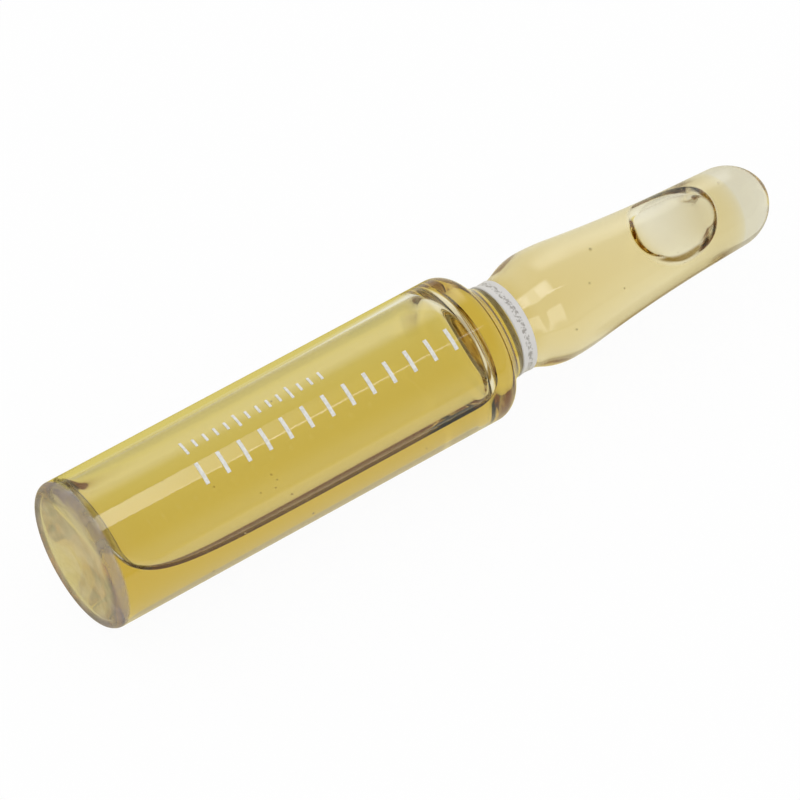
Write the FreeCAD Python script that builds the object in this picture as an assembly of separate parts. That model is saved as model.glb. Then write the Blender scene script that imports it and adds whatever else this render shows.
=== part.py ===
import FreeCAD, Part
import math
import os

# One sealed glass ampoule, half full, lying on its side. Lengths are in millimetres and angles in degrees.
# Z is up. The ampoule lies along X, from its base at the low end to its fused tip at the high end.
# The origin is on the surface that it lies on, under the middle of its length.

# Body tube
body_d = 11.5
body_length = 33.6      # base to where the shoulder starts
wall = 0.5              # glass tube wall, kept all along

# Base
heel_round = 0.7
foot_land = 0.5         # width of the flat ring that the ampoule stands on
punt_depth = 0.25       # how far the middle of the base is pushed in
base_wall = 0.6
inner_heel_round = 1.1

# Shoulder, neck, bulb and stem, as rounds joined by short straights
shoulder_round = 1.6
shoulder_straight = 0.7
neck_d = 7.04
neck_round_body = 2.45
neck_round_stem = 4.05
bulb_d = 8.8
bulb_round = 5.4
bulb_out_round = 18.8
stem_steep = 7.3        # slope of the stem just past the bulb
stem_round = 129.0
stem_gentle = 2.5       # slope of the stem's last stretch
stem_straight = 3.767

# Fused tip
tip_side_round = 3.75
tip_slope = 57.5        # slope where the side round meets the end round
tip_glass = 3.1         # solid glass from the end of the hollow to the tip
hollow_end_round = 2.2

# Serum
pool_drop = 0.3         # flat liquid level below the ampoule's axis
pool_side_round = 1.1   # liquid edge that climbs the side walls
pool_base_round = 3.5   # liquid edge that climbs the base
pool_neck_round = 1.4   # liquid edge that climbs to the shoulder
edge_reach = 0.03       # the liquid's rounded edges run this far into the glass, so they meet it at an angle
neck_seal = 0.9         # past the shoulder's start, where the liquid shuts the neck
bubble_from_end = 5.2   # end of the hollow to the middle of the bubble
bubble_length = 7.0
bubble_width = 5.0
bubble_height = 4.0
bubble_film = 0.15      # liquid between the bubble and the glass above it

# Enamel
ring_width = 1.3
ring_thick = 0.1
print_thick = 0.05
print_start = 9.3       # base to the first mark
print_end_gap = 2.6     # least distance from the last tall mark to the shoulder
tall_pitch = 1.8
tall_height = 1.75
tall_stroke = 0.3
short_row_length = 11.8
short_pitch = 0.9
short_height = 0.7
fifth_height = 1.15     # every fifth mark of the short row
short_stroke = 0.2
tall_row_angle = 25.0   # middle of the tall row, from the top towards the front
short_row_angle = 2.0

body_r = body_d / 2
neck_r = neck_d / 2
bulb_r = bulb_d / 2
beyond = 5.0            # how far a cut reaches past the solid that it shapes
slice_width = 0.1


def rad(degrees):
    return math.radians(degrees)


class Trace:
    """A smooth line in the plane of s (along the axis, from the base) and r (from the axis).

    It is kept as pieces of two points (a straight) or three (a round), each with its direction,
    so that the same line can be drawn again at any depth inside or outside the glass.
    """

    def __init__(self, s, r, slope):
        self.at = (s, r, slope)
        self.pieces = []

    def straight(self, length):
        s, r, slope = self.at
        end = (s + length * math.cos(slope), r + length * math.sin(slope), slope)
        self.pieces.append([self.at, end])
        self.at = end

    def turn(self, new_slope, radius):
        s, r, slope = self.at
        side = 1 if new_slope > slope else -1
        centre = (s - side * radius * math.sin(slope), r + side * radius * math.cos(slope))
        points = [self.at]
        for a in ((slope + new_slope) / 2, new_slope):
            along, out = side * radius * math.sin(a), side * radius * math.cos(a)
            points.append((centre[0] + along, centre[1] - out, a))
        self.pieces.append(points)
        self.at = points[-1]


def inset(point, depth):
    """The point at this depth inside the line, square to it."""
    s, r, slope = point
    return s + depth * math.sin(slope), r - depth * math.cos(slope)


def vector(s, r):
    return FreeCAD.Vector(s, 0, r)


def edges_at(pieces, depth):
    """The line's pieces as edges, at this depth inside it."""
    edges = []
    for piece in pieces:
        points = [vector(*inset(p, depth)) for p in piece]
        shape = Part.LineSegment(*points) if len(points) == 2 else Part.Arc(*points)
        edges.append(shape.toShape())
    return edges


def spun(edges):
    """The solid that an open chain of edges gives when it turns about the axis that both its ends lie on."""
    first = edges[0].firstVertex().Point
    last = edges[-1].lastVertex().Point
    closed = Part.Wire(edges + [Part.makeLine(last, first)])
    return Part.Face(closed).revolve(FreeCAD.Vector(0, 0, 0), FreeCAD.Vector(1, 0, 0), 360)


def punt_edge(s, depth, reach):
    """The pushed-in middle of the base, from the axis out to its flat ring."""
    mid_r = reach / 2
    sphere_r = (reach ** 2 + depth ** 2) / (2 * depth)
    mid_s = s + depth - (sphere_r - math.sqrt(sphere_r ** 2 - mid_r ** 2))
    return Part.Arc(vector(s + depth, 0), vector(mid_s, mid_r), vector(s, reach)).toShape()


def foot_edges(s, corner_round, side_r, reach):
    """Base from the axis outwards: punt, flat ring and the round up to the side, which starts at its end."""
    flat_r = side_r - corner_round
    bend = corner_round * (1 - math.cos(rad(45)))
    corner = Part.Arc(vector(s, flat_r), vector(s + bend, side_r - bend), vector(s + corner_round, side_r))
    ring = Part.makeLine(vector(s, reach), vector(s, flat_r))
    return [punt_edge(s, punt_depth, reach), ring, corner.toShape()]


# The slopes that make each pair of rounds reach from one diameter to the next
shoulder_sum = shoulder_round + neck_round_body
shoulder_slope = (math.acos((shoulder_sum - (body_r - neck_r)) / math.hypot(shoulder_sum, shoulder_straight))
                  - math.atan2(shoulder_straight, shoulder_sum))
bulb_slope = math.acos(1 - (bulb_r - neck_r) / (neck_round_stem + bulb_round))

# Outside of the glass from the shoulder to the stem's last stretch
trace = Trace(body_length, body_r, 0)
trace.turn(-shoulder_slope, shoulder_round)
trace.straight(shoulder_straight)
trace.turn(0, neck_round_body)
throat_s = trace.at[0]
trace.turn(bulb_slope, neck_round_stem)
trace.turn(0, bulb_round)
trace.turn(-rad(stem_steep), bulb_out_round)
trace.turn(-rad(stem_gentle), stem_round)
shaped = list(trace.pieces)
stem_start = trace.at

# The tip's end round is centred on the axis, so the line ends square to it
trace.straight(stem_straight)
trace.turn(-rad(tip_slope), tip_side_round)
trace.turn(-math.pi / 2, trace.at[1] / math.cos(rad(tip_slope)))
total_length = trace.at[0]

# Outer skin of the glass
punt_reach = body_r - heel_round - foot_land
outer_edges = foot_edges(0, heel_round, body_r, punt_reach)
outer_edges.append(Part.makeLine(vector(heel_round, body_r), vector(body_length, body_r)))
outer_edges += edges_at(trace.pieces, 0)
outer = spun(outer_edges)

# Hollow inside it, which ends in a flat face with a round edge where the tip was fused
bore_r = body_r - wall
bore_reach = bore_r - inner_heel_round - foot_land
hollow_end = total_length - tip_glass
hollow_edges = foot_edges(base_wall, inner_heel_round, bore_r, bore_reach)
hollow_edges.append(Part.makeLine(vector(base_wall + inner_heel_round, bore_r), vector(body_length, bore_r)))
hollow_edges += edges_at(shaped, wall)
bore = Trace(*inset(stem_start, wall), stem_start[2])
end_turn_s = hollow_end_round * (1 - math.sin(rad(stem_gentle)))
bore.straight((hollow_end - end_turn_s - bore.at[0]) / math.cos(rad(stem_gentle)))
bore.turn(-math.pi / 2, hollow_end_round)
bore.straight(bore.at[1])
hollow_edges += edges_at(bore.pieces, 0)
hollow = spun(hollow_edges)
glass = outer.cut(hollow)

# Air over the pool: the end view gives the liquid edge along the sides, the side view the one at both ends
level = -pool_drop
roof = body_r + beyond


def rounded_basin(left, right, left_round, right_round):
    """A face from the liquid level up past the glass, with its two lower corners rounded."""
    edges = []
    floor_start = FreeCAD.Vector(left + left_round, 0, level)
    floor_end = FreeCAD.Vector(right - right_round, 0, level)
    edges.append(Part.makeLine(floor_start, floor_end))
    corners = ((right, right_round, 1), (left, left_round, -1))
    rims = []
    for x, radius, side in corners:
        bend = radius * (1 - math.cos(rad(45)))
        start = FreeCAD.Vector(x - side * radius, 0, level)
        middle = FreeCAD.Vector(x - side * bend, 0, level + bend)
        rim = FreeCAD.Vector(x, 0, level + radius)
        edges.append(Part.Arc(start, middle, rim).toShape())
        top = FreeCAD.Vector(x, 0, roof)
        edges.append(Part.makeLine(rim, top))
        rims.append(top)
    edges.append(Part.makeLine(rims[0], rims[1]))
    return Part.Face(Part.Wire(Part.__sortEdges__(edges)))


rim_half = math.sqrt(bore_r ** 2 - (level + pool_side_round) ** 2) + edge_reach
end_view = rounded_basin(-rim_half, rim_half, pool_side_round, pool_side_round)
end_view.rotate(FreeCAD.Vector(0, 0, 0), FreeCAD.Vector(0, 0, 1), 90)
along = end_view.extrude(FreeCAD.Vector(total_length, 0, 0))
side_view = rounded_basin(base_wall - edge_reach, body_length + neck_seal, pool_base_round, pool_neck_round)
side_view.translate(FreeCAD.Vector(0, -body_r - beyond, 0))
across = side_view.extrude(FreeCAD.Vector(0, 2 * (body_r + beyond), 0))
air = along.common(across)

# Bubble in the stem, under a thin film of liquid
bubble_s = hollow_end - bubble_from_end
bubble = Part.makeSphere(1.0)
shaping = FreeCAD.Matrix()
shaping.scale(bubble_length / 2, bubble_width / 2, bubble_height / 2)
bubble = bubble.transformGeometry(shaping)
slice_box = Part.makeBox(slice_width, body_d, body_d, FreeCAD.Vector(bubble_s, -body_r, -body_r))
bubble_ceiling = hollow.common(slice_box).optimalBoundingBox(False, False).ZMax
bubble.translate(FreeCAD.Vector(bubble_s, 0, bubble_ceiling - bubble_film - bubble_height / 2))

serum = hollow.cut(air).cut(bubble)

# Break ring, fired round the narrowest part of the neck
skin_r = body_r + ring_thick
ring_skin = spun([Part.makeLine(vector(0, 0), vector(0, skin_r)),
                  Part.makeLine(vector(0, skin_r), vector(body_length, skin_r))]
                 + edges_at(trace.pieces, -ring_thick))
ring_span = Part.makeBox(ring_width, 2 * body_d, 2 * body_d,
                         FreeCAD.Vector(throat_s - ring_width / 2, -body_d, -body_d))
break_ring = ring_skin.common(ring_span).cut(outer)

# Print: a row of tall strokes and a row of short ones, with every fifth short one longer
base_centre = FreeCAD.Vector(0, 0, 0)
along_axis = FreeCAD.Vector(1, 0, 0)
print_skin = Part.makeCylinder(body_r + print_thick, body_length, base_centre, along_axis)
print_skin = print_skin.cut(Part.makeCylinder(body_r, body_length, base_centre, along_axis))


def stroke(s, width, height, angle):
    """One printed stroke, width along the tube and height round it, centred on this angle from the top."""
    cutter = Part.makeBox(width, height, body_r + beyond, FreeCAD.Vector(s - width / 2, -height / 2, 0))
    cutter.rotate(base_centre, along_axis, angle)
    return print_skin.common(cutter)


marks = []
tall_row_length = body_length - print_end_gap - print_start
for i in range(int(tall_row_length / tall_pitch) + 1):
    marks.append(stroke(print_start + i * tall_pitch, tall_stroke, tall_height, tall_row_angle))
for i in range(int(short_row_length / short_pitch) + 1):
    height = short_height if i % 5 else fifth_height
    marks.append(stroke(print_start + i * short_pitch, short_stroke, height, short_row_angle))
print_marks = Part.makeCompound(marks)

# Placed on the surface, with the origin under the middle
to_row = FreeCAD.Vector(-total_length / 2, 0, body_r)
nodes = {"glass_ampoule": glass, "serum": serum, "break_ring": break_ring, "print_marks": print_marks}
os.makedirs("parts", exist_ok=True)
for name, shape in nodes.items():
    shape.translate(to_row)
    shape.exportStep("parts/" + name + ".step")
    box = shape.optimalBoundingBox(False, False)
    print(name, "solids", len(shape.Solids), "valid", shape.isValid(), "volume mm3", round(shape.Volume, 2))
    print("  x", round(box.XMin, 2), round(box.XMax, 2), "z", round(box.ZMin, 2), round(box.ZMax, 2))
print("total length", round(total_length, 3), "throat at", round(throat_s, 2), "serum mm3", round(serum.Volume))
print("slopes of shoulder and bulb", round(math.degrees(shoulder_slope), 1), round(math.degrees(bulb_slope), 1))
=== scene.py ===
# %% [markdown]
# # A sealed glass ampoule, half full, lying on its side
#
# The real thing is one blown tube of clear glass with a yellow serum shut inside. What makes it look
# like itself is light: it bends at the glass, bends again at the liquid, and is coloured on its way.
# So each skin here is a real surface, in the place and with the bending power that the real one has.
# Lengths are in metres. X runs from the base to the fused tip and Z is up.

import math

import bmesh
import bpy
import numpy as np
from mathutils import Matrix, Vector


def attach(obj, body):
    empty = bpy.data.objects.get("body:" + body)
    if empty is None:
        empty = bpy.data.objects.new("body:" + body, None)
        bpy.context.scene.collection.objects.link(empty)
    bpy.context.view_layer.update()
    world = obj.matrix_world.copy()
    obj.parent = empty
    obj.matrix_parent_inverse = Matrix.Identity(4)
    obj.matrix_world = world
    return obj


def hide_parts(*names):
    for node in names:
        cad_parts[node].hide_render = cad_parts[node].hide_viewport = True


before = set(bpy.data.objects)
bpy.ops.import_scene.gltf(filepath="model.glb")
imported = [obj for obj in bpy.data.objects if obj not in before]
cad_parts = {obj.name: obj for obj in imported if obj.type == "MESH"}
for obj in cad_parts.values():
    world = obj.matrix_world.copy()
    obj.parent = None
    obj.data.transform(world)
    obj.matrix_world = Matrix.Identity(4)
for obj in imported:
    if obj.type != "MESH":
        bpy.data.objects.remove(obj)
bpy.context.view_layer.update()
print("packed nodes:", sorted(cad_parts))

# %% [markdown]
# ## Sizes
#
# The outline of the glass is a chain of straights and rounds that run smoothly into each other, as a
# flame and a turning tube leave them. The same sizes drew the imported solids. They are in millimetres
# here, as a glass drawing gives them, and turn into metres when a mesh is made.

# %% Sizes of the glass and of what it holds, in millimetres
MM = 0.001
body_r = 5.75
body_length = 33.6
wall = 0.5
heel_round = 0.7
foot_land = 0.5
punt_depth = 0.25
base_wall = 0.6
inner_heel_round = 1.1
shoulder_round = 1.6
shoulder_straight = 0.7
neck_r = 3.52
neck_round_body = 2.45
neck_round_stem = 4.05
bulb_r = 4.4
bulb_round = 5.4
bulb_out_round = 18.8
stem_steep = math.radians(7.3)
stem_round = 129.0
stem_gentle = math.radians(2.5)
stem_straight = 3.767
tip_side_round = 3.75
tip_slope = math.radians(57.5)
tip_glass = 3.1
hollow_end_round = 2.2

# %% [markdown]
# ## Drawing an outline
#
# A lathe piece needs only half of its section. This small pen starts at a point with a slope and goes on
# by straights and rounds, and keeps enough points on each round for it to look round. It also
# remembers the slope at every point, so the same outline can be drawn again a little inside or outside.

# %% The pen
ROUND_STEP = math.radians(3.0)
LONGEST_STEP = 0.6


class Pen:
    """Draws one half section as points (s, r, slope): s along the axis from the base, r out from it."""

    def __init__(self, s, r, slope):
        self.points = [(s, r, slope)]

    def straight(self, length):
        s, r, slope = self.points[-1]
        steps = max(1, math.ceil(length / LONGEST_STEP))
        for i in range(1, steps + 1):
            d = length * i / steps
            self.points.append((s + d * math.cos(slope), r + d * math.sin(slope), slope))

    def turn(self, new_slope, radius):
        s, r, slope = self.points[-1]
        side = 1 if new_slope > slope else -1
        turned = abs(new_slope - slope)
        steps = max(2, math.ceil(turned / ROUND_STEP), math.ceil(turned * radius / LONGEST_STEP))
        for i in range(1, steps + 1):
            a = slope + (new_slope - slope) * i / steps
            ds = side * radius * (math.sin(a) - math.sin(slope))
            dr = side * radius * (math.cos(slope) - math.cos(a))
            self.points.append((s + ds, r + dr, a))

    def kink(self, slope):
        s, r, _ = self.points[-1]
        self.points[-1] = (s, r, slope)

    def at_depth(self, depth):
        """The same line, this far inside, as (s, r) pairs."""
        return [(s + depth * math.sin(a), max(0.0, r - depth * math.cos(a))) for s, r, a in self.points]


def draw_foot(start, side_r, corner):
    """A base from the axis outwards: the pushed-in middle, the flat ring and the round up to the side."""
    reach = side_r - corner - foot_land
    sphere_r = (reach ** 2 + punt_depth ** 2) / (2 * punt_depth)
    pen = Pen(start + punt_depth, 0.0, math.pi / 2)
    pen.turn(math.pi / 2 + math.asin(reach / sphere_r), sphere_r)
    pen.kink(math.pi / 2)
    pen.straight(side_r - corner - pen.points[-1][1])
    pen.turn(0.0, corner)
    return pen


def draw_shoulder_and_stem(pen):
    """Shoulder, neck, bulb and the long taper of the stem."""
    both = shoulder_round + neck_round_body
    fall = both - (body_r - neck_r)
    steep = math.acos(fall / math.hypot(both, shoulder_straight)) - math.atan2(shoulder_straight, both)
    pen.turn(-steep, shoulder_round)
    pen.straight(shoulder_straight)
    pen.turn(0.0, neck_round_body)
    throat = pen.points[-1][0]
    pen.turn(math.acos(1 - (bulb_r - neck_r) / (neck_round_stem + bulb_round)), neck_round_stem)
    pen.turn(0.0, bulb_round)
    pen.turn(-stem_steep, bulb_out_round)
    pen.turn(-stem_gentle, stem_round)
    return throat


# %% Outside of the glass
skin = draw_foot(0.0, body_r, heel_round)
skin.straight(body_length - heel_round)
throat_s = draw_shoulder_and_stem(skin)
skin.straight(stem_straight)
skin.turn(-tip_slope, tip_side_round)
skin.turn(-math.pi / 2, skin.points[-1][1] / math.cos(tip_slope))
total_length = skin.points[-1][0]
print("outline points:", len(skin.points), "length mm:", round(total_length, 2), "throat at", round(throat_s, 2))

# %% Hollow inside it
bore_r = body_r - wall
hollow = draw_foot(base_wall, bore_r, inner_heel_round)
hollow.straight(body_length - base_wall - inner_heel_round)
shaped = Pen(body_length, body_r, 0.0)
draw_shoulder_and_stem(shaped)
hollow.points += [(s, r, a) for (s, r), (_, _, a) in zip(shaped.at_depth(wall), shaped.points)][1:]
hollow_end = total_length - tip_glass
hollow.straight((hollow_end - hollow_end_round * (1 - math.sin(stem_gentle)) - hollow.points[-1][0])
                / math.cos(stem_gentle))
hollow.turn(-math.pi / 2, hollow_end_round)
hollow.straight(hollow.points[-1][1])
print("hollow ends at", round(hollow.points[-1][0], 2), "radius there", round(hollow.points[-1][1], 3))

# %% [markdown]
# ## Arithmetic on node sockets
#
# Node trees are easier to read as sums. This class wraps one socket, and an expression on it adds the
# Math nodes. Any other node comes from `make`: its type, its settings, then what goes into its sockets.

# %% The socket class


class Wire:
    """One output socket of a node tree, which takes part in arithmetic."""

    def __init__(self, tree, socket):
        self.tree, self.socket = tree, socket

    def _math(self, operation, *values):
        return make(self.tree, "ShaderNodeMath", {"operation": operation}, dict(enumerate(values)))

    def __add__(self, other):
        return self._math("ADD", self, other)

    def __sub__(self, other):
        return self._math("SUBTRACT", self, other)

    def __rsub__(self, other):
        return self._math("SUBTRACT", other, self)

    def __mul__(self, other):
        return self._math("MULTIPLY", self, other)

    def __gt__(self, other):
        return self._math("GREATER_THAN", self, other)

    def __lt__(self, other):
        return self._math("LESS_THAN", self, other)

    def clamp(self):
        return make(self.tree, "ShaderNodeClamp", {}, {"Value": self})

    __radd__, __rmul__ = __add__, __mul__


def make(tree, kind, settings, inputs, output=0):
    """Adds a node: its type, its settings, then the values or links of its sockets. Gives one output."""
    node = tree.nodes.new(kind)
    for name, value in settings.items():
        if name == "stops":
            ramp = node.color_ramp
            while len(ramp.elements) < len(value):
                ramp.elements.new(1.0)
            for element, (place, colour) in zip(ramp.elements, value):
                element.position, element.color = place, (*colour, 1.0)
        else:
            setattr(node, name, value)
    for name, value in inputs.items():
        if isinstance(value, Wire):
            tree.links.new(value.socket, node.inputs[name])
        else:
            node.inputs[name].default_value = value
    return Wire(tree, node.outputs[output])


def new_material(name):
    material = bpy.data.materials.new(name)
    material.use_nodes = True
    material.node_tree.nodes.clear()
    return material, material.node_tree


def surface(tree, shader, volume=None):
    inputs = {"Surface": shader}
    if volume:
        inputs["Volume"] = volume
    make_output(tree, "ShaderNodeOutputMaterial", inputs)


def make_output(tree, kind, inputs):
    node = tree.nodes.new(kind)
    for name, wire in inputs.items():
        tree.links.new(wire.socket, node.inputs[name])


# %% [markdown]
# ## Two clear things that touch
#
# Glass bends light by 1.51 and the serum by 1.37. Where they touch, light only feels the step between
# the two, which is small, so a wetted wall all but vanishes. The whole inside of the glass is wetted,
# even over the air space, where a thin film stays on it. So the glass has two bending powers: 1.51
# outside and 1.51 / 1.37 on its hollow. The serum bends by 1.37 where it meets air, and by nothing
# at all beside the glass, which has done it already. Every shell says which kind it is by an attribute.

# %% Bending powers
GLASS_BEND = 1.51
SERUM_BEND = 1.37
TOUCHING = "touching"


def clear(tree, bend, extra=None):
    return make(tree, "ShaderNodeBsdfPrincipled", {}, {
        "Base Color": (1.0, 1.0, 1.0, 1.0), "Roughness": 0.0, "IOR": bend,
        "Transmission Weight": 1.0, **(extra or {})})


def by_contact(tree, free, beside):
    """One clear surface where a shell meets air, and the other where it touches the next clear thing."""
    contact = make(tree, "ShaderNodeAttribute", {"attribute_name": TOUCHING}, {}, "Fac")
    return make(tree, "ShaderNodeMixShader", {}, {0: contact, 1: free, 2: beside})


# %% [markdown]
# ## Clear glass
#
# Ampoule glass is drawn tube: clear, fire polished, and very slightly wavy along its length. The wave is
# a bump of long stretched noise, so weak that it only stirs the reflections. The base, closed in a
# flame, carries painted light: a pale, patchy rough coat, greyer on the heel and ending there, stands in
# for the light and shade seen through the base. Towards the tip the end of the hollow fades out softly,
# as in the photo. That is set in the material: the step in bending power is eased away there, which a real skin
# wouldn't do.

# %% The glass
glass, tree = new_material("clear glass")
place = make(tree, "ShaderNodeTexCoord", {}, {}, "Object")
stretched = make(tree, "ShaderNodeMapping", {}, {"Vector": place, "Scale": (90.0, 260.0, 260.0)})
wave = make(tree, "ShaderNodeTexNoise", {}, {"Vector": stretched, "Scale": 1.0, "Detail": 1.0})
bump = make(tree, "ShaderNodeBump", {}, {"Strength": 0.05, "Distance": 0.00002, "Height": wave})
# Painted light: a pale, patchy rough coat on the base, greyer on the heel, stands in for light and shade seen through
# it.
from_base = make(tree, "ShaderNodeSeparateXYZ", {}, {"Vector": place}, "X") + total_length * MM / 2
near_base = make(tree, "ShaderNodeMapRange", {"interpolation_type": "SMOOTHSTEP"},
                 {"Value": from_base, "From Min": 0.85 * MM, "From Max": 0.55 * MM})
cloud = make(tree, "ShaderNodeTexNoise", {}, {"Vector": place, "Scale": 420.0, "Detail": 2.0, "Distortion": 0.6})
painted_base_patches = make(tree, "ShaderNodeMapRange", {}, {"Value": cloud, "From Min": 0.38, "From Max": 0.62,
                                               "To Min": 0.48, "To Max": 0.72})
off_axis = make(tree, "ShaderNodeVectorMath", {"operation": "SUBTRACT"}, {0: place, 1: (0.0, 0.0, body_r * MM)})
off_axis = make(tree, "ShaderNodeVectorMath", {"operation": "MULTIPLY"}, {0: off_axis, 1: (0.0, 1.0, 1.0)})
radius = make(tree, "ShaderNodeVectorMath", {"operation": "LENGTH"}, {0: off_axis}, 1)
near_rim = make(tree, "ShaderNodeMapRange", {"interpolation_type": "SMOOTHSTEP"},
                {"Value": radius, "From Min": (body_r - 1.7) * MM, "From Max": (body_r - 0.5) * MM})
painted_base_colour = make(tree, "ShaderNodeMix", {"data_type": "RGBA"},
                    {0: near_rim, 6: (0.62, 0.55, 0.33, 1.0), 7: (0.34, 0.29, 0.26, 1.0)}, 2)
painted_base_light = make(tree, "ShaderNodeBsdfPrincipled", {}, {
    "Base Color": painted_base_colour, "Roughness": 0.9, "Specular IOR Level": 0.0})
outer = make(tree, "ShaderNodeMixShader", {}, {
    0: near_base * painted_base_patches, 1: clear(tree, GLASS_BEND, {"Normal": bump}), 2: painted_base_light})
near_tip = make(tree, "ShaderNodeMapRange", {"interpolation_type": "SMOOTHSTEP"},
                {"Value": from_base, "From Min": (hollow_end - 3.6) * MM, "From Max": (hollow_end - 1.6) * MM})
wetted = make(tree, "ShaderNodeMixShader", {}, {
    0: near_tip, 1: clear(tree, GLASS_BEND / SERUM_BEND), 2: clear(tree, 1.0)})
shader = by_contact(tree, outer, wetted)
tint = make(tree, "ShaderNodeVolumeAbsorption", {}, {"Color": (0.80, 0.78, 0.75, 1.0), "Density": 60.0})
surface(tree, shader, tint)

# %% [markdown]
# ## Serum
#
# The liquid takes blue out of the light, a little green and hardly any red, so a thin layer is straw
# yellow and a deep one is gold. That is absorption along the way, not a colour on the surface.

# %% The serum
serum_finish, tree = new_material("yellow serum")
shader = by_contact(tree, clear(tree, SERUM_BEND), clear(tree, 1.0))
gold = make(tree, "ShaderNodeVolumeAbsorption", {}, {"Color": (0.872, 0.70, 0.04, 1.0), "Density": 119.0})
surface(tree, shader, gold)

# %% [markdown]
# ## Enamel
#
# The ring and the marks are white enamel, fired on. It is a matt, slightly grainy white.

# %% The enamels


def enamel(name, pale, dark, grain, roughness, rough_middle=False):
    """White enamel with fine grain. On the ring the grain keeps to a strip along its middle."""
    material, tree = new_material(name)
    place = make(tree, "ShaderNodeTexCoord", {}, {}, "Object")
    specks = make(tree, "ShaderNodeTexNoise", {}, {"Vector": place, "Scale": grain, "Detail": 3.0})
    if rough_middle:
        x = make(tree, "ShaderNodeSeparateXYZ", {}, {"Vector": place}, "X")
        off_middle = make(tree, "ShaderNodeMath", {"operation": "ABSOLUTE"},
                          {0: x - (throat_s - total_length / 2) * MM})
        smooth_edge = make(tree, "ShaderNodeMapRange", {"interpolation_type": "SMOOTHSTEP"}, {
            "Value": off_middle, "From Min": 0.18 * MM, "From Max": 0.34 * MM, "To Max": 0.5})
        specks = (specks + smooth_edge).clamp()
    colour = make(tree, "ShaderNodeValToRGB", {"stops": [(0.40, dark), (0.56, pale)]}, {"Fac": specks})
    bump = make(tree, "ShaderNodeBump", {}, {"Strength": 0.4, "Distance": 0.00003, "Height": specks})
    shader = make(tree, "ShaderNodeBsdfPrincipled", {}, {
        "Base Color": colour, "Roughness": roughness, "IOR": 1.5, "Normal": bump})
    surface(tree, shader)
    return material


ring_finish = enamel("ring enamel", (0.70, 0.685, 0.66), (0.36, 0.34, 0.31), 5200.0, 0.45, rough_middle=True)
print_finish = enamel("print enamel", (0.78, 0.775, 0.74), (0.66, 0.65, 0.60), 6000.0, 0.4)

# %% [markdown]
# ## Turning an outline on the lathe
#
# A body of revolution follows a rule, so Geometry Nodes can turn it. The outline is carried round a small
# circle by Curve to Mesh, and its distance from the axis is kept by taking the circle's own radius off.
# Merge by Distance closes the two poles. The result is turned to lie along X.

# %% Geometry Nodes groups and plain meshes


class Group:
    """A Geometry Nodes group with named inputs. Its wires start at those inputs."""

    def __init__(self, name, **inputs):
        self.tree = bpy.data.node_groups.new(name, "GeometryNodeTree")
        self.sockets = {}
        for label, kind in inputs.items():
            socket = self.tree.interface.new_socket(label, in_out="INPUT", socket_type="NodeSocket" + kind)
            self.sockets[label] = socket.identifier
        self.tree.interface.new_socket("Result", in_out="OUTPUT", socket_type="NodeSocketGeometry")
        entry = self.tree.nodes.new("NodeGroupInput")
        self.given = {socket.name: Wire(self.tree, socket) for socket in entry.outputs if socket.name}

    def end(self, geometry):
        """Realizes the result and gives it its material."""
        real = make(self.tree, "GeometryNodeRealizeInstances", {}, {"Geometry": geometry})
        finished = make(self.tree, "GeometryNodeSetMaterial", {}, {"Geometry": real, "Material": self.given["Finish"]})
        make_output(self.tree, "NodeGroupOutput", {"Result": finished})

    def run(self, data, **values):
        """The plain mesh that the group makes of a curve or mesh."""
        source = bpy.data.objects.new(self.tree.name, data)
        bpy.context.scene.collection.objects.link(source)
        modifier = source.modifiers.new(self.tree.name, "NODES")
        modifier.node_group = self.tree
        for label, value in values.items():
            modifier[self.sockets[label]] = value
        bpy.context.view_layer.update()
        mesh = bpy.data.meshes.new_from_object(source.evaluated_get(bpy.context.evaluated_depsgraph_get()))
        bpy.data.objects.remove(source)
        return mesh


# %% The lathe
HUB = 10.0 * MM
WELD = 0.0005 * MM
FACETS = 192
AXIS_HEIGHT = body_r * MM


def make_lathe():
    group = Group("turned about the axis", Outline="Geometry", Facets="Int", Hub="Float", Finish="Material")
    tree, given = group.tree, group.given
    circle = make(tree, "GeometryNodeCurvePrimitiveCircle", {"mode": "RADIUS"},
                  {"Resolution": given["Facets"], "Radius": given["Hub"]})
    upright = make(tree, "GeometryNodeSetCurveNormal", {"mode": "Z_UP"}, {"Curve": circle})
    carried = make(tree, "GeometryNodeCurveToMesh", {}, {"Curve": upright, "Profile Curve": given["Outline"]})
    closed = make(tree, "GeometryNodeMergeByDistance", {}, {"Geometry": carried, "Distance": WELD})
    smooth = make(tree, "GeometryNodeSetShadeSmooth", {}, {"Geometry": closed})
    laid = make(tree, "GeometryNodeTransform", {}, {
        "Geometry": smooth, "Rotation": (0.0, math.pi / 2, 0.0),
        "Translation": (-total_length * MM / 2, 0.0, AXIS_HEIGHT)})
    group.end(laid)
    return group


lathe = make_lathe()


def signed_volume(mesh):
    bm = bmesh.new()
    bm.from_mesh(mesh)
    volume = bm.calc_volume(signed=True)
    bm.free()
    return volume


def mark_touching(mesh, touching):
    """Says on the whole shell whether it lies against the next clear thing."""
    kind = mesh.attributes.new(TOUCHING, "FLOAT", "POINT")
    kind.data.foreach_set("value", [1.0 if touching else 0.0] * len(mesh.vertices))
    return mesh


def turned(outline, finish, inwards=False):
    """One closed shell from (s, r) pairs in millimetres, with its faces outwards, or inwards round a hollow."""
    curve = bpy.data.curves.new("outline", "CURVE")
    curve.dimensions = "3D"
    spline = curve.splines.new("POLY")
    spline.points.add(len(outline) - 1)
    for point, (s, r) in zip(spline.points, outline):
        point.co = (r * MM - HUB, -s * MM, 0.0, 1.0)
    mesh = lathe.run(curve, Facets=FACETS, Hub=HUB, Finish=finish)
    if (signed_volume(mesh) < 0) != inwards:
        mesh.flip_normals()
    return mesh


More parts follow.
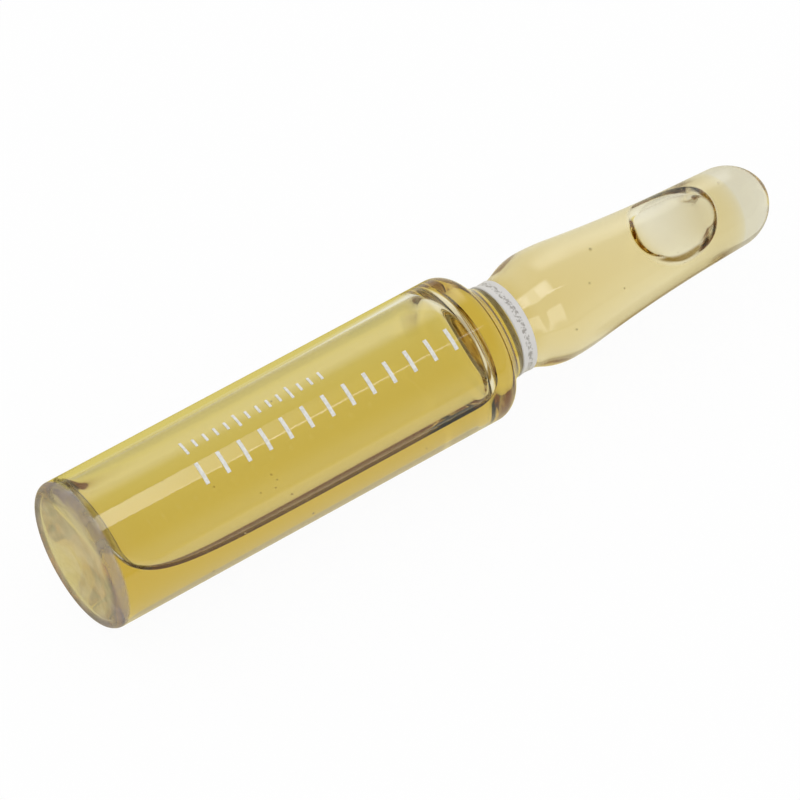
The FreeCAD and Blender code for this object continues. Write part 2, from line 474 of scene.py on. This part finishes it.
def piece(name, shells, finish, nodes):
    """Joins closed shells into one object, in its material, riding on the body in place of these nodes."""
    bm = bmesh.new()
    for mesh in shells:
        bm.from_mesh(mesh)
    mesh = bpy.data.meshes.new(name)
    bm.to_mesh(mesh)
    loose = sum(not edge.is_manifold for edge in bm.edges)
    triangles = sum(len(face.verts) - 2 for face in bm.faces)
    bm.free()
    mesh.materials.clear()
    mesh.materials.append(finish)
    mesh.polygons.foreach_set("material_index", [0] * len(mesh.polygons))
    mesh.polygons.foreach_set("use_smooth", [True] * len(mesh.polygons))
    made = bpy.data.objects.new(name, mesh)
    bpy.context.scene.collection.objects.link(made)
    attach(made, "root")
    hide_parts(*nodes)
    corners = np.array([v.co for v in mesh.vertices]) / MM
    print(name, "triangles", triangles, "open edges", loose, "mm from", corners.min(0).round(2),
          "to", corners.max(0).round(2))
    return made


# %% [markdown]
# ## The glass
#
# The glass is two shells: the outside, and the hollow's own skin with its faces turned inwards. Light needs
# both, because it is the pair that makes a wall with a thickness.

# %% The glass body
glass_body = piece("glass_body", [mark_touching(turned(skin.at_depth(0.0), glass), False),
                                  mark_touching(turned(hollow.at_depth(0.0), glass, inwards=True), True)],
                   glass, ["glass_ampoule"])

# %% [markdown]
# ## The air space over the liquid
#
# A liquid that wets glass climbs it. Beside a flat wall the height of that edge follows from surface
# tension and weight alone, and it is a known curve. Here it climbs the base. Along the tight curve of the
# side walls, and at the neck, the edge is close to a plain round.
#
# The air space is then what is above the liquid, inside the wall and in front of the liquid that shuts the
# neck. Each of these is a depth, below zero inside. `rounded` keeps the larger of two depths and
# rounds the corner between them, which is what surface tension does.

# %% Liquid level and edges, in millimetres
pool_drop = 0.3
pool_side_round = 1.1
pool_neck_round = 2.6
neck_seal = 0.4
capillary_length = 3.1
film = 0.03
side_gap = 0.01

climb = np.linspace(math.sqrt(2), 0.004, 600)
away = (np.arccosh(2 / climb) - np.sqrt(4 - climb ** 2)
        - math.acosh(math.sqrt(2)) + math.sqrt(2)) * capillary_length
climb = climb * capillary_length
steepness = np.abs(np.gradient(climb, away))
side_s = np.array([s for s, r, a in hollow.points if s > body_length - 1])
side_wall_r = np.array([r for s, r, a in hollow.points if s > body_length - 1])
side_tilt = np.array([math.cos(a) for s, r, a in hollow.points if s > body_length - 1])


def rounded(a, b, radius):
    both = (a > -radius) & (b > -radius)
    return np.where(both, np.hypot(a + radius, b + radius) - radius, np.maximum(a, b))


def air_depth(s, y, z):
    """How far outside the air space a point is, in millimetres. z is counted from the axis."""
    r = np.hypot(y, z)
    base_s = base_wall + film + punt_depth * np.clip(1 - (r / (bore_r - inner_heel_round - foot_land)) ** 2, 0, 1)
    from_base = np.clip(s - base_s, 0.0, None)
    tilt = 1 / np.hypot(1, np.interp(from_base, away, steepness))
    pool = (np.interp(from_base, away, climb) - pool_drop - z) * tilt
    side = (r + film - np.interp(s, side_s, side_wall_r, left=bore_r)) * np.interp(s, side_s, side_tilt)
    inner_heel = rounded(base_s - s, side, inner_heel_round)
    return rounded(np.maximum(rounded(pool, side, pool_side_round), inner_heel),
                   s - body_length - neck_seal, pool_neck_round)


# %% [markdown]
# To turn those depths into a mesh, rays go out from a line inside the air space: straight out
# along its length and fanned out round both ends. Halving each ray again and again finds the skin.

# %% Rays out of a line inside the air space
RINGS_ALONG = 110
RINGS_ROUND_END = 52
SPOKES = 192
line_from, line_to = 5.0, 31.5
line_height = 2.2


def skin_of(depth_at, start, direction, reach):
    """Where each ray crosses the skin, found by halving."""
    near = np.zeros(start.shape[:-1])
    far = np.full(start.shape[:-1], reach)
    for _ in range(44):
        middle = (near + far) / 2
        at = start + direction * middle[..., None]
        outside = depth_at(at[..., 0], at[..., 1], at[..., 2]) > 0
        far = np.where(outside, middle, far)
        near = np.where(outside, near, middle)
    return start + direction * near[..., None]


def ring_of_rays():
    """Start points and directions: a fan round each end and plain rings between them."""
    quarter = np.linspace(0, math.pi / 2, RINGS_ROUND_END + 2)[1:-1]
    lean = np.concatenate([math.pi - quarter, np.full(RINGS_ALONG, math.pi / 2), quarter[::-1]])
    places = np.concatenate([np.full(len(quarter), line_from), np.linspace(line_from, line_to, RINGS_ALONG),
                             np.full(len(quarter), line_to)])
    spoke = np.linspace(0, 2 * math.pi, SPOKES, endpoint=False)
    start = np.zeros((len(places), SPOKES, 3))
    start[..., 0] = places[:, None]
    start[..., 2] = line_height
    direction = np.stack([np.broadcast_to(np.cos(lean)[:, None], start.shape[:2]),
                          np.sin(lean)[:, None] * np.sin(spoke), np.sin(lean)[:, None] * np.cos(spoke)], -1)
    return start, direction


def mesh_of_rings(rings, first_pole, last_pole, inwards):
    """A closed mesh through rings of points, with a pole at each end. Millimetres from the base become metres."""
    count, around = rings.shape[:2]
    points = np.vstack([rings.reshape(-1, 3), first_pole, last_pole])
    points = (points + (-total_length / 2, 0.0, body_r)) * MM
    here = np.arange(count * around).reshape(count, around)
    beside = np.roll(here, -1, axis=1)
    quads = np.stack([here[:-1], beside[:-1], beside[1:], here[1:]], -1).reshape(-1, 4)
    first = [(count * around, int(b), int(a)) for a, b in zip(here[0], beside[0])]
    last = [(count * around + 1, int(a), int(b)) for a, b in zip(here[-1], beside[-1])]
    mesh = bpy.data.meshes.new("shell")
    mesh.from_pydata(points.tolist(), [], quads.tolist() + first + last)
    if (signed_volume(mesh) < 0) != inwards:
        mesh.flip_normals()
    return mesh


start, direction = ring_of_rays()
air_rings = skin_of(air_depth, start, direction, 9.0)
poles = skin_of(air_depth, np.array([[line_from, 0, line_height], [line_to, 0, line_height]]),
                np.array([[-1.0, 0, 0], [1.0, 0, 0]]), 9.0)
air_space = mesh_of_rings(air_rings, poles[:1], poles[1:], inwards=True)
print("air space mm3:", round(-signed_volume(air_space) / MM ** 3, 1))

# %% [markdown]
# ## The bubble in the stem
#
# The stem is full but for one bubble, which floats up near the tip. A free bubble is an egg here. The top
# of the stem presses it flat, with a round where the flat begins, so it is worked out by depth as well.

# %% The bubble
bubble_from_end = 5.6
bubble_length, bubble_width, bubble_height = 7.4, 5.1, 4.0
bubble_film = 0.1
bubble_press = 0.8
bubble_round = 0.7
bubble_s = hollow_end - bubble_from_end
stem_r = np.interp(bubble_s, side_s, side_wall_r)
bubble_rise = stem_r - bubble_film - bubble_height / 2
lean = np.linspace(0, math.pi, 98)[1:-1]
spoke = np.linspace(0, 2 * math.pi, 144, endpoint=False)
half = np.array([bubble_length, bubble_width, bubble_height]) / 2
middle = np.array([bubble_s, 0.0, bubble_rise])
fan = np.stack([np.broadcast_to(np.cos(lean)[:, None], (96, 144)), np.sin(lean)[:, None] * np.sin(spoke),
                np.sin(lean)[:, None] * np.cos(spoke)], -1)


def bubble_depth(s, y, z):
    """How far outside the bubble a point is: an egg that is pressed flat by the top of the stem."""
    swollen = half + (0.0, 0.0, bubble_press / 2)
    egg = np.linalg.norm((np.stack([s, y, z], -1) - middle - (0, 0, bubble_press / 2)) / swollen, axis=-1) - 1
    wall = np.hypot(y, z) + bubble_film - np.interp(s, side_s, side_wall_r)
    return rounded(egg * half.min(), wall, bubble_round)


bubble_rings = skin_of(bubble_depth, np.broadcast_to(middle, fan.shape), fan, 6.0)
bubble_poles = skin_of(bubble_depth, np.array([middle, middle]), np.array([[1.0, 0, 0], [-1.0, 0, 0]]), 6.0)
bubble = mesh_of_rings(bubble_rings, bubble_poles[:1], bubble_poles[1:], inwards=True)
print("bubble mm3:", round(-signed_volume(bubble) / MM ** 3, 1))

# %% [markdown]
# ## Specks
#
# A few tiny air bells cling to the wetted wall. Geometry Nodes scatters them over the hollow, a little way
# inside it, from a fixed seed. Those that would come near the air space or the bubble are left out.

# %% The air bells
BELL_SEED = 11
BELLS_PER_M2 = 30000.0
BELL_LEAST, BELL_MOST = 0.05, 0.11
BELL_DEPTH = 0.2


def make_bell_scatter():
    group = Group("air bells", Wall="Geometry", Density="Float", Seed="Int", Least="Float", Most="Float",
                  Finish="Material")
    tree, given = group.tree, group.given
    spots = make(tree, "GeometryNodeDistributePointsOnFaces", {},
                 {"Mesh": given["Wall"], "Density": given["Density"], "Seed": given["Seed"]})
    ball = make(tree, "GeometryNodeMeshIcoSphere", {}, {"Radius": 1.0, "Subdivisions": 2})
    size = make(tree, "FunctionNodeRandomValue", {"data_type": "FLOAT"},
                {2: given["Least"], 3: given["Most"], "Seed": given["Seed"]}, 1)
    group.end(make(tree, "GeometryNodeInstanceOnPoints", {}, {"Points": spots, "Instance": ball, "Scale": size}))
    return group


def in_the_open_liquid(place):
    """Whether a bell at this place keeps clear of the air space and of the bubble."""
    at = np.array(place) / MM + (total_length / 2, 0.0, -body_r)
    return air_depth(*at) > 0.25 and np.linalg.norm((at - middle) / (half + 0.3)) > 1


def without_islands(mesh, keep):
    """Takes out each loose part whose middle doesn't pass the test."""
    bm = bmesh.new()
    bm.from_mesh(mesh)
    waiting = set(bm.verts)
    kept, dropped = 0, []
    for vert in list(bm.verts):
        if vert not in waiting:
            continue
        waiting.discard(vert)
        island = [vert]
        for member in island:
            for other in (edge.other_vert(member) for edge in member.link_edges):
                if other in waiting:
                    waiting.discard(other)
                    island.append(other)
        if keep(np.mean([member.co for member in island], axis=0)):
            kept += 1
        else:
            dropped += island
    bmesh.ops.delete(bm, geom=dropped, context="VERTS")
    bm.to_mesh(mesh)
    bm.free()
    print("air bells kept:", kept)
    return mesh


bells = make_bell_scatter().run(
    turned(hollow.at_depth(BELL_DEPTH), serum_finish), Density=BELLS_PER_M2, Seed=BELL_SEED,
    Least=BELL_LEAST * MM, Most=BELL_MOST * MM, Finish=serum_finish)
bells = without_islands(bells, in_the_open_liquid)
if signed_volume(bells) > 0:
    bells.flip_normals()

# %% [markdown]
# ## The liquid
#
# The liquid is one closed body with two holes in it, the air space and the bubble. Its side lies a hair
# inside the glass wall, so that no two faces share a place.

# %% The serum
liquid = piece("liquid", [mark_touching(turned(hollow.at_depth(side_gap), serum_finish), True),
                          mark_touching(air_space, False), mark_touching(bubble, False),
                          mark_touching(bells, False)],
               serum_finish, ["serum"])
print("liquid mL:", round(signed_volume(liquid.data) / MM ** 3 / 1000, 3))

# %% [markdown]
# ## The break ring
#
# A band of enamel round the narrowest part of the neck marks where the ampoule snaps.

# %% The ring
ring_width = 1.3
ring_thick = 0.1
near_neck = [p for p in skin.points if abs(p[0] - throat_s) < ring_width]
neck_s = np.array([p[0] for p in near_neck])
neck_out = np.array([p[1] for p in near_neck])
across = np.linspace(-ring_width / 2, ring_width / 2, 27)
edge = np.clip((ring_width / 2 - np.abs(across)) / ring_thick, 0, 1)
outside = [(throat_s + d, np.interp(throat_s + d, neck_s, neck_out) + ring_thick * math.sqrt(1 - (1 - e) ** 2))
           for d, e in zip(across, edge)]
inside = [(throat_s + d, np.interp(throat_s + d, neck_s, neck_out) - 0.01) for d in across[::-1]]
ring = piece("ring", [turned(outside + inside + outside[:1], ring_finish)], ring_finish,
             ["break_ring"])

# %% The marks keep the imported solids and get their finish
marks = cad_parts["print_marks"]
for slot in marks.material_slots:
    slot.material = print_finish

# %% [markdown]
# ## Table, light and camera
#
# The table is a plain white sheet, which the camera sees as even white with a trace of the ampoule's own
# shade. A full tube is a lens: on a real table it throws a gold pool of light under and behind itself, and
# that pool is what one sees through it. Path tracing doesn't find such light in a short time, so the pool
# is painted on the sheet for the rays that come out of the glass, with cream all round it and a darker
# spot under the bubble, which its rim mirrors.

# %% The table
SHADE_KEPT = 0.05
table_finish, tree = new_material("white sheet")
place = make(tree, "ShaderNodeTexCoord", {}, {}, "Object")
along = make(tree, "ShaderNodeSeparateXYZ", {}, {"Vector": place}, "X")
across = make(tree, "ShaderNodeSeparateXYZ", {}, {"Vector": place}, "Y")


def band(value, start, full, fall, end):
    """1 between full and fall, easing off to 0 at start and at end."""
    rise = make(tree, "ShaderNodeMapRange", {"interpolation_type": "SMOOTHSTEP"},
                {"Value": value, "From Min": start * MM, "From Max": full * MM})
    drop = make(tree, "ShaderNodeMapRange", {"interpolation_type": "SMOOTHSTEP"},
                {"Value": value, "From Min": end * MM, "From Max": fall * MM})
    return rise * drop


under_body = band(along, -110.0, -55.0, 7.0, 15.0) * band(across, -8.0, 1.0, 30.0, 200.0)
under_bubble = band(along, 14.5, 17.5, 26.5, 29.5) * band(across, -10.5, -7.0, -3.0, -1.0)
# Painted light and shade seen through the glass: cream round the pool, darker past the tip, dark brown far in front.
past_tip = make(tree, "ShaderNodeMapRange", {"interpolation_type": "SMOOTHSTEP"},
                {"Value": along, "From Min": 20.0 * MM, "From Max": 32.0 * MM})
sheet = make(tree, "ShaderNodeMix", {"data_type": "RGBA"},
             {0: past_tip, 6: (0.86, 0.84, 0.70, 1.0), 7: (0.77, 0.735, 0.56, 1.0)}, 2)
painted_dark_far_front = make(tree, "ShaderNodeMapRange", {"interpolation_type": "SMOOTHSTEP"},
                 {"Value": across, "From Min": -60.0 * MM, "From Max": -160.0 * MM})
sheet = make(tree, "ShaderNodeMix", {"data_type": "RGBA"},
             {0: painted_dark_far_front, 6: sheet, 7: (0.30, 0.20, 0.07, 1.0)}, 2)
pool = make(tree, "ShaderNodeMix", {"data_type": "RGBA"},
            {0: under_body, 6: sheet, 7: (0.683, 0.578, 0.163, 1.0)}, 2)
glass_ray = (make(tree, "ShaderNodeLightPath", {}, {}, "Is Glossy Ray")
             + make(tree, "ShaderNodeLightPath", {}, {}, "Is Transmission Ray")).clamp()
pool = make(tree, "ShaderNodeMix", {"data_type": "RGBA"},
            {0: under_bubble, 6: pool, 7: (0.26, 0.165, 0.03, 1.0)}, 2)
seen_colour = make(tree, "ShaderNodeMix", {"data_type": "RGBA"},
                   {0: glass_ray, 6: (1.0, 1.0, 1.0, 1.0), 7: pool}, 2)
camera_ray = make(tree, "ShaderNodeLightPath", {}, {}, "Is Camera Ray")
lit = make(tree, "ShaderNodeBsdfDiffuse", {}, {"Color": (0.9, 0.9, 0.9, 1.0)})
white = make(tree, "ShaderNodeEmission", {}, {"Color": seen_colour, "Strength": 1.0})
evened = camera_ray * (1 - SHADE_KEPT) + glass_ray
mixed = make(tree, "ShaderNodeMixShader", {}, {0: evened, 1: lit, 2: white})
surface(tree, mixed)
bm = bmesh.new()
bmesh.ops.create_grid(bm, x_segments=1, y_segments=1, size=1.5)
sheet_mesh = bpy.data.meshes.new("table")
bm.to_mesh(sheet_mesh)
bm.free()
sheet_mesh.materials.append(table_finish)
table = bpy.data.objects.new("table", sheet_mesh)
bpy.context.scene.collection.objects.link(table)

# %% [markdown]
# The room is white for the table and for all that isn't glass. Rays out of the glass see a dim warm
# ceiling instead, which draws the dark lines along edges and menisci, and three soft windows, which only
# the first reflection on the outside of the glass shows.

# %% World
world = bpy.data.worlds.new("studio")
bpy.context.scene.world = world
world.use_nodes = True
tree = world.node_tree
tree.nodes.clear()
way = make(tree, "ShaderNodeTexCoord", {}, {}, "Generated")
up = make(tree, "ShaderNodeSeparateXYZ", {}, {"Vector": way}, "Z")
ceiling = make(tree, "ShaderNodeValToRGB", {"stops": [
    (0.25, (0.50, 0.46, 0.34)), (0.55, (0.215, 0.10, 0.028)), (0.75, (0.14, 0.045, 0.004))]}, {"Fac": up})
glass_ray = (make(tree, "ShaderNodeLightPath", {}, {}, "Is Transmission Ray")
             + make(tree, "ShaderNodeLightPath", {}, {}, "Is Glossy Ray")).clamp()
off_the_table = make(tree, "ShaderNodeLightPath", {}, {}, "Diffuse Depth") > 0.5
on_the_outside = (make(tree, "ShaderNodeLightPath", {}, {}, "Is Glossy Ray")
                  * (make(tree, "ShaderNodeLightPath", {}, {}, "Transmission Depth") < 0.5))
sideways = make(tree, "ShaderNodeSeparateXYZ", {}, {"Vector": way}, "X")
forwards = make(tree, "ShaderNodeSeparateXYZ", {}, {"Vector": way}, "Y")


def window(x_from, x_to, y_from, y_to, soft=0.03):
    """A soft-edged rectangle on the sky, in direction cosines."""
    inside = 1.0
    for way_along, low, high in ((sideways, x_from, x_to), (forwards, y_from, y_to)):
        rise = make(tree, "ShaderNodeMapRange", {"interpolation_type": "SMOOTHSTEP"},
                    {"Value": way_along, "From Min": low - soft, "From Max": low + soft})
        drop = make(tree, "ShaderNodeMapRange", {"interpolation_type": "SMOOTHSTEP"},
                    {"Value": way_along, "From Min": high + soft, "From Max": high - soft})
        inside = rise * drop * inside
    return inside * (up > 0)


windows = ((window(-0.42, 0.16, -0.36, 0.12) + window(-0.30, 0.16, -0.97, -0.72)
            + window(0.20, 0.62, 0.45, 0.80, 0.13) * 0.68).clamp() * on_the_outside)
showing = make(tree, "ShaderNodeMix", {"data_type": "RGBA"}, {0: windows, 6: ceiling, 7: (2.6, 2.6, 2.5, 1.0)}, 2)
colour = make(tree, "ShaderNodeMix", {"data_type": "RGBA"},
              {0: glass_ray * (1 - off_the_table), 6: (1.0, 1.0, 1.0, 1.0), 7: showing}, 2)
sky = make(tree, "ShaderNodeBackground", {}, {"Color": colour, "Strength": 1.0})
make_output(tree, "ShaderNodeOutputWorld", {"Surface": sky})

# %% [markdown]
# The long pale band on the body is a softbox, mirrored by the outside of the glass. It is a card close
# by, so the band ends where the card does. Only a first reflection shows it.

# %% The softbox that the body mirrors
STRIPE_TILT = math.radians(21.5)
STRIPE_MIDDLE = 12.0
CARD_AWAY = 100.0
CARD_LENGTH = 90.0
CARD_WIDTH = 40.0
EDGE_WIDTH = 4.0
BROAD_PART = (-18.0, 12.0)
EDGE_PART = (10.0, 42.0)
to_camera = Vector((-0.3875, -0.5360, 0.7500))
stripe_normal = Vector((0.0, -math.sin(STRIPE_TILT), math.cos(STRIPE_TILT)))
mirrored = 2 * stripe_normal.dot(to_camera) * stripe_normal - to_camera
card_middle = (Vector(((STRIPE_MIDDLE - total_length / 2) * MM, 0.0, body_r * MM)) + stripe_normal * body_r * MM
               + mirrored * CARD_AWAY * MM)
card_along = Vector((1.0, 0.0, 0.0))
card_along = (card_along - mirrored * card_along.dot(mirrored)).normalized()
card_across = mirrored.cross(card_along).normalized()

card_finish, tree = new_material("softbox")
place = make(tree, "ShaderNodeTexCoord", {}, {}, "Object")
from_middle = make(tree, "ShaderNodeVectorMath", {"operation": "SUBTRACT"}, {0: place, 1: card_middle})
along = make(tree, "ShaderNodeVectorMath", {"operation": "DOT_PRODUCT"}, {0: from_middle, 1: card_along}, 1)
across = make(tree, "ShaderNodeVectorMath", {"operation": "DOT_PRODUCT"}, {0: from_middle, 1: card_across}, 1)


def fading(full_and_end):
    return make(tree, "ShaderNodeMapRange", {"interpolation_type": "SMOOTHSTEP"},
                {"Value": along, "From Min": full_and_end[1] * MM, "From Max": full_and_end[0] * MM})


near_edge = across < (EDGE_WIDTH - CARD_WIDTH / 2) * MM
lit_part = (fading(BROAD_PART) + near_edge * fading(EDGE_PART) * 0.8).clamp()
on_the_outside = (make(tree, "ShaderNodeLightPath", {}, {}, "Is Glossy Ray")
                  * (make(tree, "ShaderNodeLightPath", {}, {}, "Transmission Depth") < 0.5))
glow = make(tree, "ShaderNodeEmission", {}, {"Color": (1.0, 1.0, 1.05, 1.0), "Strength": 4.2})
clear_through = make(tree, "ShaderNodeBsdfTransparent", {}, {})
surface(tree, make(tree, "ShaderNodeMixShader", {}, {0: lit_part * on_the_outside, 1: clear_through, 2: glow}))

corners = [card_middle + card_along * x * MM + card_across * y * MM
           for x, y in ((-CARD_LENGTH / 2, -CARD_WIDTH / 2), (CARD_LENGTH / 2, -CARD_WIDTH / 2),
                        (CARD_LENGTH / 2, CARD_WIDTH / 2), (-CARD_LENGTH / 2, CARD_WIDTH / 2))]
card_mesh = bpy.data.meshes.new("softbox")
card_mesh.from_pydata([tuple(c) for c in corners], [], [(0, 1, 2, 3)])
card_mesh.materials.append(card_finish)
card = bpy.data.objects.new("softbox", card_mesh)
bpy.context.scene.collection.objects.link(card)
print("softbox card from", [round(c / MM) for c in corners[0]], "to", [round(c / MM) for c in corners[2]], "mm")

# %% Camera
camera_data = bpy.data.cameras.new("camera")
camera_data.sensor_fit = "HORIZONTAL"
camera_data.sensor_width = 36.0
camera_data.lens = 233.01
camera_data.clip_start = 0.01
camera = bpy.data.objects.new("camera", camera_data)
bpy.context.scene.collection.objects.link(camera)
camera.location = (-0.14859, -0.20189, 0.28645)
camera.rotation_euler = Vector((0.3875, 0.5360, -0.7500)).to_track_quat("-Z", "Y").to_euler()
bpy.context.scene.camera = camera
bpy.context.scene.view_settings.view_transform = "Standard"

# %% [markdown]
# Light crosses many skins on its way through a full tube and is thrown about inside it, so the path
# of a ray is allowed to be long. Cut short, it would leave black and grey where there is gold.

# %% Long light paths
cycles = bpy.context.scene.cycles
cycles.max_bounces = 40
cycles.transmission_bounces = 40
cycles.glossy_bounces = 24
